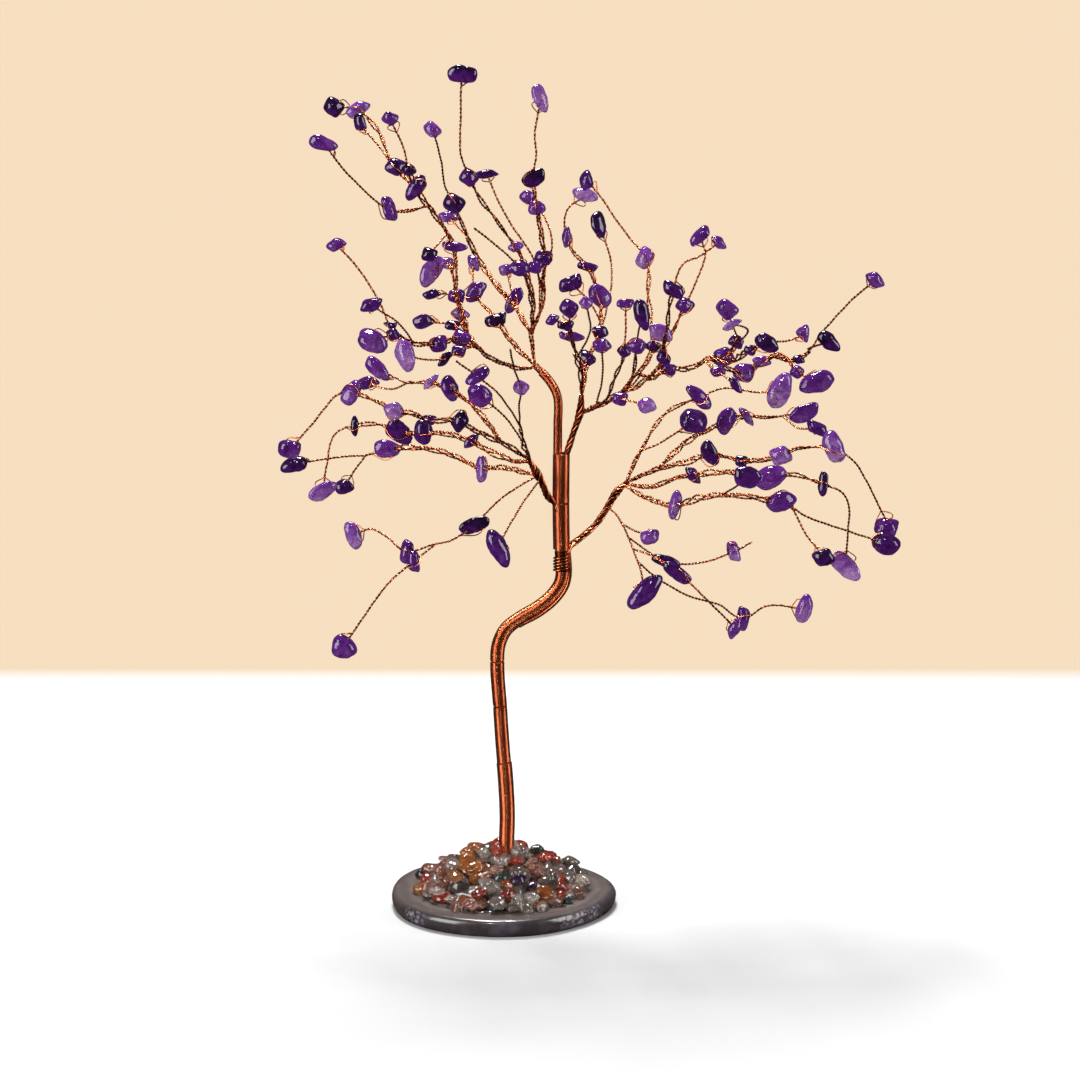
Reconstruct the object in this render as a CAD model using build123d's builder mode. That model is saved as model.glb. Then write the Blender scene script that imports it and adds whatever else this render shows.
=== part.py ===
import os
from math import ceil, cos, hypot, pi, radians, sin, sqrt
from random import Random

from build123d import *

os.makedirs("parts", exist_ok=True)

# A gemstone tree: drilled amethyst chips threaded on twisted copper wire, the wires gathered into a bound
# trunk that stands in a heap of bedded pebbles on a polished slice of agate.
# Millimetres, +Z up, +X to the viewer's right, and the origin at the middle of the slice's underside.

# Driving sizes
tree_height = 296.0
slab_width = 80.0
slab_depth = 76.0
slab_thickness = 6.0
heap_width = 56.0
heap_height = 13.0
glue_width = 66.0
glue_thickness = 0.6
pebble_width = 7.2
twig_width = 0.8
core_width = 4.4
trunk_width = 5.1
foot_width = 5.6
crotch_width = 6.0
top_left_width = 3.2
middle_width = 2.4
left_width = 2.5
right_width = 2.4
binding_width = 0.55
binding_pitch = 1.05
binding_turns = 5
fit = 0.06
bore_fit = 0.12
overrun = 2.0

# The tree was measured in one picture, so a place on it is a picture column, a picture row and a lean in the
# same unit, away from the viewer. The viewer looks down by view_tilt from view_distance.
picture_middle_px = 540
tree_height_px = 859.5
view_tilt = radians(12.0)
view_distance = 1200.0
aim_x_share = 0.0453
aim_z_share = 0.4429
lean_share = 1.3
pixel = tree_height / tree_height_px
aim = Vector(tree_height * aim_x_share, 0, tree_height * aim_z_share)
view_right = Vector(1, 0, 0)
view_up = Vector(0, sin(view_tilt), cos(view_tilt))
view_ahead = Vector(0, cos(view_tilt), -sin(view_tilt))
viewer = aim - view_ahead * view_distance


def nearness(column, row, lean):
    """How much longer than at the aim point a picture unit is, at one place on the tree."""
    return (lean * lean_share * pixel - viewer.Y) / sight(column, row).Y / view_distance


def sight(column, row):
    """The direction from the viewer through one place in the picture."""
    across = (column - picture_middle_px) * pixel / view_distance
    upward = (picture_middle_px - row) * pixel / view_distance
    return view_ahead + view_right * across + view_up * upward


def place(station):
    """The point in space for a column, a row and a lean."""
    column, row, lean = station
    return viewer + sight(column, row) * (nearness(column, row, lean) * view_distance)


def keep_largest(piece):
    """The main body of a piece, without slivers that a cut may leave."""
    return piece.part.solids().sort_by(SortBy.VOLUME)[-1]


def mitred_rod(points, width, sides, cutters=()):
    """A bent rod of a few flats, mitred at its bends, less what it butts against."""
    with BuildPart() as rod:
        with BuildLine():
            Polyline(*points)
        with BuildSketch(Plane(origin=points[0], z_dir=points[1] - points[0])):
            RegularPolygon(width / 2, sides)
        sweep(transition=Transition.RIGHT)
        for cutter in cutters:
            add(cutter, mode=Mode.SUBTRACT)
    return keep_largest(rod)


# The agate slice: a cut and polished disc, not quite round, with its top edge eased.
slab_ease = 1.5
slab_under_ease = 0.7
slab_corners = 40
wobble_shares = (0.012, 0.008)
wobble_lobes = (3, 5)
wobble_phase = 1


def uneven_ring(width, depth, corners):
    """The corners of a not quite round outline."""
    ring = []
    for number in range(corners):
        turn = 2 * pi * number / corners
        wobble = 1 + wobble_shares[0] * sin(wobble_lobes[0] * turn + wobble_phase)
        wobble += wobble_shares[1] * cos(wobble_lobes[1] * turn)
        ring.append((width / 2 * wobble * cos(turn), depth / 2 * wobble * sin(turn)))
    return ring


with BuildPart() as agate_base:
    with BuildSketch():
        Polygon(*uneven_ring(slab_width, slab_depth, slab_corners), align=None)
    extrude(amount=slab_thickness)
    chamfer(agate_base.faces().sort_by(Axis.Z)[-1].edges(), slab_ease)
    chamfer(agate_base.faces().sort_by(Axis.Z)[0].edges(), slab_under_ease)
agate_base.part.label = "agate_base"
export_step(agate_base.part, "parts/agate_base.step")

# The trunk's line, from its foot in the heap to the crotch where the top limbs part.
foot_px = (506.5, 845, 0)
trunk_px = (
    (507.3, 816, 0),
    (505.8, 783, 0),
    (502.6, 745, 0),
    (500, 706, 0),
    (497.3, 665, 0),
    (498.6, 645, 0),
    (505.9, 629.5, 0),
    (521.2, 617.5, 0),
    (537.5, 608, 0),
    (552.4, 595.5, 0),
    (561.4, 581, 0),
    (561.6, 548, 0),
    (561.2, 525, 0),
    (561, 500, 0),
    (561.4, 453, 0),
)
trunk_line = [place(station) for station in trunk_px]
foot = place(foot_px)
trunk_root = Vector(foot.X, foot.Y, slab_thickness)
trunk_line = [trunk_root, foot] + trunk_line
trunk_sides = 12
trunk_core = mitred_rod(trunk_line, core_width, trunk_sides)
trunk_core.label = "trunk_core"
export_step(trunk_core, "parts/trunk_core.step")


def row_height(row):
    """The height of the trunk's line at a picture row."""
    for below, above in zip(trunk_px, trunk_px[1:]):
        if below[1] >= row >= above[1]:
            share = (below[1] - row) / (below[1] - above[1])
            return place(below).Z + (place(above).Z - place(below).Z) * share
    return place(foot_px).Z


# The trunk's wrappings: close turns of fine wire, laid on in six lengths, each a snug sleeve round the core.
heap_top = slab_thickness + heap_height
sleeve_gap = 0.15
binding_row = 571
sleeves = {
    "foot_wrap": (None, 762, foot_width),
    "lower_wrap": (762, 706, trunk_width),
    "middle_wrap": (706, 661, trunk_width),
    "crook_wrap": (661, binding_row, trunk_width),
    "upper_wrap": (550, 503, crotch_width),
    "crotch_wrap": (503, 453, crotch_width),
}
bored_line = list(trunk_line)
bored_line[0] = trunk_line[0] - Vector(0, 0, overrun)
bored_line[-1] = trunk_line[-1] + (trunk_line[-1] - trunk_line[-2]).normalized() * overrun
sleeve_bore = mitred_rod(bored_line, core_width + 2 * fit, trunk_sides)
wrappings = {}
for name, (low_row, high_row, width) in sleeves.items():
    low = heap_top if low_row is None else row_height(low_row) + sleeve_gap / 2
    high = row_height(high_row) - sleeve_gap / 2
    with BuildPart() as sleeve:
        with BuildLine():
            Polyline(*bored_line)
        with BuildSketch(Plane(origin=bored_line[0], z_dir=bored_line[1] - bored_line[0])):
            RegularPolygon(width / 2, trunk_sides)
        sweep(transition=Transition.RIGHT)
        split(bisect_by=Plane.XY.offset(low), keep=Keep.TOP)
        split(bisect_by=Plane.XY.offset(high), keep=Keep.BOTTOM)
        add(sleeve_bore, mode=Mode.SUBTRACT)
    wrappings[name] = keep_largest(sleeve)
    wrappings[name].label = name
    export_step(wrappings[name], f"parts/{name}.step")

# The binding under the right limb: open turns of stouter wire round the bare core, one unbroken length
# whose ends lie at the back.
binding_start = 0.25
binding_low = row_height(binding_row) + binding_width / 2 + sleeve_gap
binding_axis = place((561.5, binding_row, 0))
binding_radius = (core_width + binding_width) / 2 + 2 * fit


def binding_point(turn):
    """A point on the binding's middle line, turn counted in whole turns."""
    angle = 2 * pi * (turn + binding_start)
    reach = Vector(cos(angle), sin(angle), 0) * binding_radius
    return Vector(binding_axis.X, binding_axis.Y, binding_low + binding_pitch * turn) + reach


def binding_heading(turn):
    """The direction of the binding's middle line."""
    angle = 2 * pi * (turn + binding_start)
    speed = Vector(-sin(angle), cos(angle), 0) * (2 * pi * binding_radius)
    return (speed + Vector(0, 0, binding_pitch)).normalized()


arcs_per_turn = 4
binding_sides = 4
binding_stops = [number / arcs_per_turn for number in range(binding_turns * arcs_per_turn + 1)]
with BuildPart() as fork_binding:
    with BuildLine():
        for first, last in zip(binding_stops, binding_stops[1:]):
            start = binding_point(first)
            end = binding_point(last)
            away = binding_heading(first)
            home = binding_heading(last)
            span = end - start
            bend = 2 * (1 - away.dot(home))
            pull = span.dot(away + home)
            handle = (sqrt(pull * pull + bend * span.dot(span)) - pull) / bend
            joint = (start + away * handle + end - home * handle) / 2
            joint_heading = (end - home * handle) - (start + away * handle)
            TangentArc(start, joint, tangent=away)
            TangentArc(joint, end, tangent=joint_heading)
    with BuildSketch(Plane(origin=binding_point(0), z_dir=binding_heading(0))):
        RegularPolygon(binding_width / 2, binding_sides)
    sweep()
fork_binding.part.label = "fork_binding"
export_step(fork_binding.part, "parts/fork_binding.step")
binding_steps = 48
binding_samples = [binding_point(number / binding_steps) for number in range(binding_turns * binding_steps)]
least_gap = min(
    (a - b).length - binding_width
    for number, a in enumerate(binding_samples)
    for b in binding_samples[number + binding_steps // 2:]
)
print(f"least gap between the binding's turns {least_gap:.2f}")

# The heap's bed: pebbles and clear glue set into one mound, with a thin puddle of glue round it.
bed_corners = 16
bed_top_share = 0.28
bed_rim_share = 0.12
bed_cover_share = 0.3
bed_inset_share = 0.4
bed_height = heap_height - pebble_width * bed_cover_share
bed_radius = heap_width / 2 - pebble_width * bed_inset_share
with BuildPart() as glue_bed:
    with BuildSketch(Plane.XY.offset(slab_thickness)):
        RegularPolygon(bed_radius, bed_corners)
    extrude(amount=bed_height)
    crown = glue_bed.faces().sort_by(Axis.Z)[-1].edges()
    chamfer(crown, bed_height * (1 - bed_rim_share), bed_radius - heap_width / 2 * bed_top_share)
    with BuildSketch(Plane.XY.offset(slab_thickness)):
        Polygon(*uneven_ring(glue_width, glue_width, slab_corners // 2), align=None)
    extrude(amount=glue_thickness)
    with BuildSketch(Plane(origin=trunk_root, z_dir=(0, 0, 1))):
        RegularPolygon(core_width / 2 + fit, trunk_sides)
    extrude(amount=heap_height, mode=Mode.SUBTRACT)
glue_bed.part.label = "glue_bed"
export_step(glue_bed.part, "parts/glue_bed.step")

# The limbs: bundles of twisted wires that leave the trunk.
limb_px = {
    "top_left_limb": ((557.6, 453, -2), (557.8, 425, 0), (557.3, 396, 4), (551, 383, 7), (535, 365, 10)),
    "middle_limb": ((566.8, 453, -3), (573, 434, -6), (580, 412, -9), (581.5, 395, -12)),
    "left_limb": ((561, 512, -2), (549, 498, -6), (541, 481, -12), (529, 460, -18)),
    "right_limb": ((562, 553, 2), (578, 540, 6), (596, 524, 12), (607, 508, 16), (616, 493, 20), (627, 482, 24)),
}
limb_widths = {
    "top_left_limb": top_left_width,
    "middle_limb": middle_width,
    "left_limb": left_width,
    "right_limb": right_width,
}
limb_sides = 8
routes = {}
lines = {}
wood = {}
trunk_cutters = [trunk_core, wrappings["upper_wrap"], wrappings["crotch_wrap"]]
for name, stations in limb_px.items():
    points = [place(station) for station in stations]
    cutters = list(trunk_cutters)
    if name == "middle_limb":
        cutters.append(wood["top_left_limb"])
    routes[name] = list(stations)
    lines[name] = points
    wood[name] = mitred_rod(points, limb_widths[name], limb_sides, cutters)
    wood[name].label = name
    export_step(wood[name], f"parts/{name}.step")

# The sprays. A twig is a twisted pair of wires, given by its root, its leans and its stations. The root is the
# limb or the earlier twig that it leaves, and the leans are spread evenly along it. A station is a bend,
# (column, row), or a threaded chip, (column, row, length, width, slope in degrees).
sprays = {
    "cluster": {
        "c1": ("top_left_limb", (-20, -60), (
            (536, 366), (519, 368), (502, 363), (487, 356), (475, 346), (461, 338, 20, 18, 0),
            (439, 343, 18, 17, 20), (415, 344), (393, 335, 13, 13, 0), (374, 341, 30, 24, -20))),
        "c2": ("c1", (-40, -30), (
            (402, 338), (391, 326, 12, 8, 0), (381, 305), (359, 270), (336, 244, 19, 13, 20))),
        "c3": ("c1", (-90,), ((414, 343), (400, 325), (371, 305, 24, 14, 25))),
        "c4": ("c1", (-45, -80), (
            (474, 345), (459, 351, 14, 11, 0), (445, 358, 20, 9, 50), (428, 360), (405, 355, 32, 20, -75))),
        "c5": ("c1", (20, 30), ((476, 346), (453, 325, 15, 11, 0), (424, 322, 21, 16, 10))),
        "c6": ("c1", (40, 45), (
            (478, 350), (467, 332), (460, 314, 19, 13, -10), (457, 297, 16, 14, 0), (432, 294, 18, 10, 10))),
    },
    "top_left": {
        "t1": ("c1", (5, 20, -10, -20), (
            (469, 342), (465, 322), (457, 296), (455, 270), (454, 246, 26, 11, -5), (433, 213),
            (416, 188, 27, 16, 55), (409, 169, 14, 12, 0), (403, 146), (390, 119, 17, 15, 0))),
        "t2": ("t1", (45,), ((456, 284), (447, 263, 13, 12, 0), (431, 271, 32, 18, 60))),
        "t3": ("t1", (-30,), ((447, 234), (429, 254, 17, 15, 15))),
        "t4": ("t1", (-30, -50), (
            (428, 206), (406, 211), (389, 209, 24, 16, -65), (352, 178), (336, 160), (324, 143, 28, 15, -10))),
        "t5": ("t1", (30, 50), (
            (420, 194), (396, 166, 23, 20, 0), (378, 145), (359, 123, 17, 13, -70))),
        "t6": ("t5", (75, 80), ((390, 158), (376, 128), (358, 109, 24, 14, 30), (334, 107, 21, 20, 0))),
    },
    "crown_top": {
        "b1": ("top_left_limb", (20, 0, -10, -20), (
            (535, 365), (532, 340), (532, 328), (538, 318), (543, 300), (543, 280), (544, 258, 17, 14, 0),
            (541, 232), (537, 208, 15, 14, 0), (533, 178, 25, 16, 30), (536, 155), (535, 132),
            (541, 99, 28, 15, -65))),
        "b2": ("b1", (-15, -40, -60), (
            (532, 332), (532, 300), (527, 272), (516, 247, 15, 10, 20), (499, 224), (483, 203),
            (469, 177, 20, 18, 0), (461, 155), (461, 112), (461, 73, 30, 17, -5))),
        "b3": ("b1", (40, 55), (
            (539, 315), (538, 272), (527, 247), (513, 227), (499, 203), (487, 174, 22, 9, 5))),
        "b4": ("b1", (25, 50), ((543, 274), (552, 244), (545, 218), (528, 196, 17, 15, 0))),
    },
    "upper_left": {
        "e1": ("top_left_limb", (40, 80), (
            (535, 365), (517, 348), (497, 320, 22, 13, 20), (475, 291, 24, 18, 50), (473, 263, 18, 12, -60))),
        "e2": ("b1", (60, 80), (
            (532, 334), (522, 318), (514, 300, 27, 12, 60), (506, 270, 14, 12, 0))),
        "e3": ("e2", (110, 95, 60), (
            (519, 311), (497, 285), (479, 260), (467, 236), (454, 203, 22, 20, 0), (445, 187),
            (441, 160), (433, 129, 17, 14, -40))),
        "e4": ("e3", (125,), ((467, 236), (449, 217, 20, 12, 0))),
        "e5": ("b2", (-60, -75), ((532, 303), (528, 288), (519, 267, 24, 19, 0), (492, 242), (474, 228))),
        "e6": ("b1", (-45,), ((543, 290), (536, 268, 14, 13, 0))),
    },
    "middle_front": {
        "m1": ("middle_limb", (-50, -70), (
            (581, 395), (580, 372), (576, 355), (571, 336, 26, 11, -5), (569, 309, 19, 19, 0))),
        "m2": ("m1", (-105,), ((576, 352), (566, 325, 16, 10, 0), (552, 319, 14, 11, 40))),
        "m3": ("m1", (-100,), ((577, 358), (590, 330), (586, 303, 14, 12, 0))),
    },
    "middle_back": {
        "k1": ("middle_limb", (50, 90, 110), (
            (582, 396), (585, 378), (588, 359, 18, 14, 50), (600, 333, 16, 14, 0), (599, 295, 26, 18, -50),
            (588, 267, 20, 9, -10), (576, 255), (567, 237, 20, 10, 90), (567, 210), (585, 196, 25, 15, -15))),
        "k2": ("k1", (60,), ((600, 320), (590, 302), (572, 284, 24, 15, 25))),
        "k3": ("k1", (130, 140), ((596, 345), (606, 312), (611, 262), (599, 225, 26, 16, -75))),
    },
    "middle_right": {
        "r1": ("middle_limb", (-30, 10, 50, 60), (
            (580, 414), (598, 406), (612, 398), (630, 385), (644, 366), (653, 347, 16, 13, 0),
            (651, 325), (649, 298), (645, 257, 21, 16, 70), (630, 238), (615, 218), (603, 200),
            (587, 180, 20, 14, 90))),
        "r2": ("r1", (-70, -60), ((606, 402), (617, 372), (624, 351, 14, 12, -20), (626, 303, 17, 10, 5))),
        "r3": ("r1", (-55,), ((596, 408), (602, 380), (602, 346, 18, 15, 0))),
        "r4": ("r1", (-40, -95), ((624, 390), (634, 368), (636, 345, 21, 19, 0), (642, 314, 32, 17, -75))),
        "r5": ("r1", (-60, -50), (
            (617, 395), (642, 382), (664, 358, 18, 13, -60), (661, 333, 25, 17, -25))),
        "r6": ("r1", (-110, -140), ((588, 412), (602, 403), (621, 399, 15, 13, 0), (647, 405, 18, 16, 0))),
    },
    "right_upper": {
        "g1": ("r5", (-40, -20), (
            (662, 345), (674, 330), (685, 306, 19, 16, 0), (695, 284), (705, 254), (700, 235, 24, 13, 45))),
        "g2": ("r5", (-90, -70), (
            (663, 350), (668, 318), (673, 290, 23, 14, -35), (683, 264), (700, 256), (719, 242, 18, 11, -40))),
    },
    "right_top": {
        "j1": ("r1", (25, 10, -15), (
            (639, 374), (650, 378), (669, 370, 15, 12, 0), (693, 367), (707, 359), (724, 357, 20, 20, 0),
            (736, 342, 15, 13, 0), (727, 311, 21, 18, -35))),
        "j2": ("j1", (-45,), ((704, 360), (718, 371, 15, 12, 0), (735, 385, 20, 9, -55))),
        "j3": ("j1", (-50, -20), (
            (711, 359), (732, 360), (751, 350, 12, 10, 0), (766, 343, 26, 18, -30), (788, 341),
            (804, 334, 17, 13, -80))),
        "j4": ("j1", (45, 40, 10), (
            (711, 359), (728, 369), (745, 372, 20, 19, 0), (762, 362, 18, 12, 0), (780, 354),
            (797, 371, 14, 14, 0), (816, 382, 35, 24, 15))),
        "j5": ("j4", (40, 20), (
            (774, 356), (799, 359, 12, 9, 0), (824, 330), (849, 303), (875, 280, 21, 14, -35))),
        "j6": ("j5", (-20,), ((808, 349), (829, 341, 27, 16, -40))),
        "j7": ("j1", (-60,), ((731, 349), (748, 330), (732, 324, 20, 8, 30))),
    },
    "left_front": {
        "i1": ("left_limb", (-80, -140), (
            (530, 462), (523, 443), (520, 425), (519, 405), (521, 388, 16, 15, 0), (514, 370), (510, 349))),
        "i2": ("i1", (-110, -130), ((521, 428), (508, 407), (495, 390), (477, 376, 27, 14, 35), (456, 361))),
        "i3": ("i1", (-60,), ((524, 443), (505, 417), (480, 396, 25, 23, 0))),
    },
    "left_middle": {
        "l1": ("left_limb", (-55, -60, -30, -10), (
            (529, 459), (510, 447), (490, 438), (474, 430), (459, 421, 23, 17, 70), (430, 420, 13, 10, 0),
            (412, 413), (394, 411, 20, 18, 0), (380, 402), (351, 393, 27, 18, 60), (336, 395),
            (324, 409), (307, 430), (290, 450, 21, 19, 0))),
        "l2": ("l1", (-10, 30, 40), (
            (503, 444), (484, 417), (470, 403), (449, 389, 25, 19, -70), (431, 382, 20, 9, 45), (405, 381),
            (378, 369, 30, 16, -40))),
        "l3": ("l2", (75,), ((410, 381), (390, 389), (368, 383, 22, 13, 10))),
    },
    "left_lower": {
        "h1": ("left_limb", (10, 30, 40, 15), (
            (530, 462), (512, 460), (495, 454), (471, 441, 19, 10, 40), (448, 434), (423, 433, 25, 19, 90),
            (399, 432, 30, 20, -30), (380, 424), (354, 426, 21, 9, 90), (336, 433), (327, 463),
            (323, 491, 30, 17, 30))),
        "h2": ("left_limb", (50, 80, 70), (
            (539, 476), (516, 470), (500, 467), (482, 468, 25, 13, -85), (450, 454), (412, 447),
            (387, 449, 27, 19, 0), (370, 454), (341, 457), (318, 460), (292, 465, 26, 17, 20))),
        "h3": ("h2", (80,), ((366, 454), (355, 470), (344, 486, 19, 16, 10))),
    },
    "left_bottom": {
        "n1": ("left_limb", (-20, -45, -20), (
            (538, 476), (521, 485), (503, 497), (487, 512), (474, 525, 31, 14, 18), (452, 540), (432, 545),
            (406, 551, 24, 14, 80), (388, 538), (371, 529), (353, 535, 27, 16, -70))),
        "n2": ("left_limb", (-110,), ((540, 480), (522, 504), (508, 528), (498, 548, 39, 20, -62))),
        "n3": ("n1", (-70, -60), (
            (436, 544), (413, 562, 22, 12, -80), (388, 584), (373, 603), (360, 622), (344, 646, 26, 22, -10))),
    },
    "right_middle": {
        "a1": ("right_limb", (80, 105, 80), (
            (626, 482), (634, 464), (642, 449), (656, 425), (674, 408), (699, 397, 30, 15, -45), (726, 388),
            (755, 392), (781, 391, 36, 22, 70))),
        "a2": ("a1", (45,), ((641, 451), (658, 444), (676, 433), (694, 420, 27, 25, 0))),
    },
    "right_main": {
        "p1": ("right_limb", (10, -15, -20, 0), (
            (626, 482), (645, 474), (663, 467), (688, 462), (710, 454, 26, 18, -60), (742, 461, 12, 12, 0),
            (760, 460), (781, 456, 22, 20, 0), (800, 448), (834, 448, 33, 20, -65), (853, 460), (866, 480),
            (877, 502), (889, 527, 23, 20, 0))),
        "p2": ("p1", (60, 75, 60), (
            (658, 469), (676, 451), (700, 434), (727, 421, 26, 20, 70), (747, 416, 22, 10, -50), (770, 417),
            (804, 413, 31, 18, 25))),
        "p3": ("p2", (15,), ((782, 415), (799, 428), (818, 428, 24, 14, -30))),
    },
    "right_lower": {
        "q1": ("right_limb", (-20, -45, -50, -30), (
            (625, 483), (646, 487), (660, 484), (676, 478), (693, 475, 21, 11, -50), (722, 472),
            (771, 478, 34, 24, 20), (797, 475), (823, 484, 25, 10, 85), (842, 492), (849, 510),
            (848, 530), (846, 566, 36, 20, -40))),
        "q2": ("right_limb", (-60, -90, -70, -40), (
            (624, 485), (640, 494), (655, 501), (676, 505, 28, 14, 80), (700, 498), (722, 495),
            (750, 497), (782, 503, 30, 22, 10), (805, 516), (848, 531), (885, 543, 28, 22, -20))),
        "q3": ("q2", (-115,), ((722, 495), (735, 487), (747, 477, 28, 22, 0))),
        "q4": ("q2", (-105,), ((793, 509), (806, 534), (824, 557, 22, 18, 0))),
    },
    "right_bottom": {
        "s1": ("right_limb", (-25, -70), (
            (608, 507), (617, 515), (624, 528), (632, 546), (640, 568), (645, 592, 43, 21, 52))),
        "s2": ("s1", (-20, 10, 0), (
            (638, 562), (661, 581), (692, 597), (719, 605), (744, 618, 24, 13, 85), (766, 606),
            (804, 609, 29, 18, 75))),
        "s3": ("s1", (30, 50), (
            (628, 538), (646, 550), (666, 562, 28, 14, -15), (698, 563), (734, 552, 21, 12, -70), (752, 542))),
        "s4": ("s1", (-75, -65), ((633, 549), (652, 556), (678, 573, 32, 14, -35), (707, 600),
                                  (735, 628, 24, 12, 65))),
        "s5": ("s1", (-60,), ((620, 521), (634, 530), (650, 536, 18, 14, 20))),
    },
}


def leave(root, column, row):
    """The place on a root's line that is nearest to a column and a row."""
    best = None
    for start, end in zip(routes[root], routes[root][1:]):
        run_x = end[0] - start[0]
        run_y = end[1] - start[1]
        share = ((column - start[0]) * run_x + (row - start[1]) * run_y) / (run_x * run_x + run_y * run_y)
        share = max(0, min(1, share))
        spot = tuple(a + (b - a) * share for a, b in zip(start, end))
        miss = hypot(column - spot[0], row - spot[1])
        if best is None or miss < best[0]:
            best = (miss, spot)
    return best[1]


def lean_along(leans, share):
    """The lean at a share of a twig's length, between its evenly spread leans."""
    step = share * (len(leans) - 1)
    lower = min(int(step), len(leans) - 2)
    return leans[lower] + (leans[lower + 1] - leans[lower]) * (step - lower)


def lay_route(root, leans, stations):
    """A twig's stations with their leans, from the place where it leaves its root."""
    start = leave(root, stations[0][0], stations[0][1])
    flat = [start[:2]] + [station[:2] for station in stations[1:]]
    runs = [hypot(b[0] - a[0], b[1] - a[1]) for a, b in zip(flat, flat[1:])]
    knots = (start[2],) + tuple(leans)
    route = [start]
    gone = 0
    for spot, run in zip(flat[1:], runs):
        gone += run
        route.append((spot[0], spot[1], lean_along(knots, gone / sum(runs))))
    return route


def distance_to_line(point, line):
    """How far a point is from a line of straight runs."""
    least = None
    for start, end in zip(line, line[1:]):
        run = end - start
        share = max(0, min(1, (point - start).dot(run) / run.dot(run)))
        away = (point - (start + run * share)).length
        least = away if least is None else min(least, away)
    return least


def boxes_meet(one, other):
    """Whether the boxes round two shapes meet."""
    first = one.bounding_box()
    second = other.bounding_box()
    if first.max.X < second.min.X or second.max.X < first.min.X:
        return False
    if first.max.Y < second.min.Y or second.max.Y < first.min.Y:
        return False
    return not (first.max.Z < second.min.Z or second.max.Z < first.min.Z)


# The twigs, each cut square where it butts against its root or a twig that leaves from the same place.
twig_sides = 4
threads = {}
spray_twigs = {}
for spray, twigs in sprays.items():
    spray_twigs[spray] = []
    for name, (root, leans, stations) in twigs.items():
        routes[name] = lay_route(root, leans, stations)
        lines[name] = [place(station) for station in routes[name]]
        start = lines[name][0]
        cutters = []
        for other, solid in wood.items():
            if distance_to_line(start, lines[other]) < top_left_width:
                cutters.append(solid)
        wood[name] = mitred_rod(lines[name], twig_width, twig_sides, cutters)
        threads[name] = mitred_rod(lines[name], twig_width + 2 * bore_fit, twig_sides)
        spray_twigs[spray].append(wood[name])
    group = Compound(children=spray_twigs[spray])
    group.label = f"{spray}_twigs"
    export_step(group, f"parts/{spray}_twigs.step")

# The chips: tumbled amethyst, each a rough outline eased front and back, drilled for its twig and
# flattened where it presses on a neighbour. The outlines are shares of half the length and half the width.
# A small chip has a plainer outline, eased on the front alone.
chip_outline_shares = (
    ((1.0, 0.15), (0.35, 1.0), (-0.8, 0.75), (-1.0, -0.45), (0.45, -1.0)),
    ((1.0, -0.3), (0.6, 0.85), (-0.55, 1.0), (-1.0, 0.0), (-0.2, -1.0)),
    ((0.95, 0.6), (-0.3, 1.0), (-1.0, 0.3), (-0.65, -0.9), (0.7, -0.9)),
    ((1.0, 0.0), (0.2, 0.95), (-0.9, 0.8), (-0.85, -0.75), (0.3, -1.0)),
)
small_outline_shares = (
    ((1.0, 0.1), (-0.25, 1.0), (-0.95, -0.2), (0.2, -1.0)),
    ((0.9, 0.7), (-0.8, 0.9), (-1.0, -0.5), (0.5, -0.95)),
    ((1.0, -0.35), (0.3, 0.95), (-1.0, 0.4), (-0.5, -0.9)),
)
small_chip_px = 25
chip_thickness_shares = (0.62, 0.7, 0.8, 0.72, 0.66)
chip_ease_share = 0.36
chip_rolls = (0, 28, -24, 40, -38, 14, -12)
chips = []
spray_chips = {}
count = 0
for spray, twigs in sprays.items():
    spray_chips[spray] = []
    for name, (root, leans, stations) in twigs.items():
        for station, spot in zip(stations, routes[name]):
            if len(station) < 5:
                continue
            unit = pixel * nearness(*spot)
            half_length = station[2] * unit / 2
            half_width = station[3] * unit / 2
            slope = radians(station[4])
            roll = radians(chip_rolls[count % len(chip_rolls)])
            thickness = 2 * half_width * chip_thickness_shares[count % len(chip_thickness_shares)]
            small = max(station[2:4]) < small_chip_px
            outlines = small_outline_shares if small else chip_outline_shares
            outline = outlines[count % len(outlines)]
            count += 1
            along = view_right * cos(slope) + view_up * sin(slope)
            beside = view_up * cos(slope) - view_right * sin(slope)
            face = view_ahead * (-cos(roll)) + beside * sin(roll)
            bed = Plane(origin=place(spot) - face * (thickness / 2), x_dir=along, z_dir=face)
            with BuildPart() as chip:
                with BuildSketch(bed):
                    Polygon(*[(x * half_length, y * half_width) for x, y in outline], align=None)
                extrude(amount=thickness)
                ends = chip.faces().sort_by(Axis(origin=bed.origin, direction=face))
                eased = ends[-1].edges() if small else ends[0].edges() + ends[-1].edges()
                chamfer(eased, thickness * chip_ease_share)
                for thread in threads.values():
                    if boxes_meet(chip.part, thread):
                        add(thread, mode=Mode.SUBTRACT)
                for neighbour in chips:
                    if boxes_meet(chip.part, neighbour):
                        add(neighbour, mode=Mode.SUBTRACT)
            chips.append(keep_largest(chip))
            spray_chips[spray].append(chips[-1])
    group = Compound(children=spray_chips[spray])
    group.label = f"{spray}_chips"
    export_step(group, f"parts/{spray}_chips.step")
print(f"{len(chips)} chips on {len(threads)} twigs")

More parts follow.
